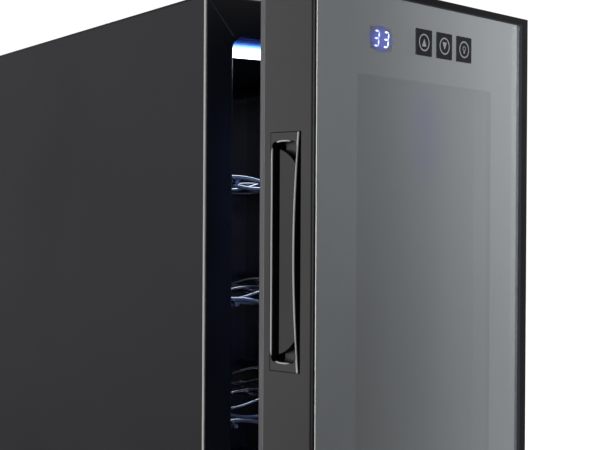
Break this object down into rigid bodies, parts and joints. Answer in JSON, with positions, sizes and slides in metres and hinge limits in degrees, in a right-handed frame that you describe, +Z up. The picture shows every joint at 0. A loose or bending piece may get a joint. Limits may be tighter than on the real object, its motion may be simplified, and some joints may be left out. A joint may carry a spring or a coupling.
{
  "type": "wine cooler",
  "caption": "Slim freestanding wine cooler with a right-hinged mirrored glass door, recessed side pull, touch keys and display, wire bottle shelves and a lit black cabin.",
  "frame": {"origin": "on the floor, under the middle of the cabinet's width and depth", "axes": "+Z up, -Y the front where the door is, +X the hinge side"},
  "size_m": [0.2652, 0.5706, 0.645],
  "materials": {
    "wrapper_steel": "satin",
    "frame_plastic": "satin",
    "liner_plastic": "satin",
    "foam": "matte",
    "zinc_steel": "satin",
    "rear_paint": "matte",
    "grille_plastic": "matte",
    "foot_rubber": "matte",
    "gasket_rubber": "matte",
    "shelf_chrome": "polished",
    "sink_aluminium": "satin",
    "module_ceramic": "matte",
    "fan_plastic": "satin",
    "board_laminate": "satin",
    "board_parts": "gloss",
    "inlet_plastic": "satin",
    "lamp_housing": "satin",
    "lamp_diffuser": "satin",
    "screw_steel": "satin",
    "hinge_steel": "satin",
    "door_plastic": "satin",
    "handle_plastic": "satin",
    "mirror_glass": "gloss",
    "clear_glass": "gloss",
    "mask_ink": "gloss",
    "spacer_aluminium": "satin",
    "key_film": "gloss",
    "bush_plastic": "satin"
  },
  "bodies": {
    "cabinet": {"outer_wrapper": "wrapper_steel", "base_pan": "zinc_steel", "front_frame": "frame_plastic", "inner_liner": "liner_plastic", "insulation_foam": "foam", "rear_bulkhead": "zinc_steel", "rear_panel": "rear_paint", "rear_grille": "grille_plastic", "rear_screws": "screw_steel", "grille_screws": "screw_steel", "front_feet": "foot_rubber", "rear_feet": "foot_rubber", "cold_fan_frame": "fan_plastic", "hot_fan_frame": "fan_plastic", "cold_sink": "sink_aluminium", "hot_heat_sink": "sink_aluminium", "cold_block": "sink_aluminium", "peltier_module": "module_ceramic", "cold_fan_cover": "liner_plastic", "fan_guard": "shelf_chrome", "fan_screws": "screw_steel", "power_board": "board_laminate", "board_standoffs": "fan_plastic", "board_transformer": "board_parts", "board_capacitors": "board_parts", "power_inlet": "inlet_plastic", "lamp_base": "lamp_housing", "led_strip": "board_laminate", "lamp_lens": "lamp_diffuser", "temperature_probe": "liner_plastic", "top_hinge_bracket": "hinge_steel", "bottom_hinge_bracket": "hinge_steel", "hinge_screws": "screw_steel", "top_hinge_cover": "grille_plastic"},
    "door": {"door_frame": "door_plastic", "door_glass": "mirror_glass", "glass_mask": "mask_ink", "glass_spacer": "spacer_aluminium", "inner_glass": "clear_glass", "door_inner_trim": "frame_plastic", "trim_screws": "screw_steel", "door_gasket": "gasket_rubber", "handle_insert": "handle_plastic", "display_module": "key_film", "touch_board": "board_laminate", "touch_springs": "screw_steel", "key_up": "key_film", "key_down": "key_film", "key_light": "key_film", "top_hinge_bush": "bush_plastic", "bottom_hinge_bush": "bush_plastic"},
    "cold_rotor": {"cold_fan_rotor": "fan_plastic"},
    "hot_rotor": {"hot_fan_rotor": "fan_plastic"},
    "shelf_1": {"shelf_1": "shelf_chrome"},
    "shelf_2": {"shelf_2": "shelf_chrome"},
    "shelf_3": {"shelf_3": "shelf_chrome"},
    "shelf_4": {"shelf_4": "shelf_chrome"},
    "shelf_5": {"shelf_5": "shelf_chrome"}
  },
  "joints": [
    {"name": "door_hinge", "type": "hinge", "parent": "cabinet", "child": "door", "pos_m": [0.119, -0.238, 0], "axis": [0, 0, 1], "range_deg": [-14.4, 95.6]},
    {"name": "cold_fan_spin", "type": "hinge", "parent": "cabinet", "child": "cold_rotor", "pos_m": [0, 0.095, 0.33], "axis": [0, 1, 0], "continuous": true},
    {"name": "hot_fan_spin", "type": "hinge", "parent": "cabinet", "child": "hot_rotor", "pos_m": [0, 0.198, 0.33], "axis": [0, 1, 0], "continuous": true},
    {"name": "shelf_1_slide", "type": "slide", "parent": "cabinet", "child": "shelf_1", "axis": [0, -1, 0], "range_m": [0, 0.018]},
    {"name": "shelf_2_slide", "type": "slide", "parent": "cabinet", "child": "shelf_2", "axis": [0, -1, 0], "range_m": [0, 0.018]},
    {"name": "shelf_3_slide", "type": "slide", "parent": "cabinet", "child": "shelf_3", "axis": [0, -1, 0], "range_m": [0, 0.018]},
    {"name": "shelf_4_slide", "type": "slide", "parent": "cabinet", "child": "shelf_4", "axis": [0, -1, 0], "range_m": [0, 0.018]},
    {"name": "shelf_5_slide", "type": "slide", "parent": "cabinet", "child": "shelf_5", "axis": [0, -1, 0], "range_m": [0, 0.018]}
  ]
}
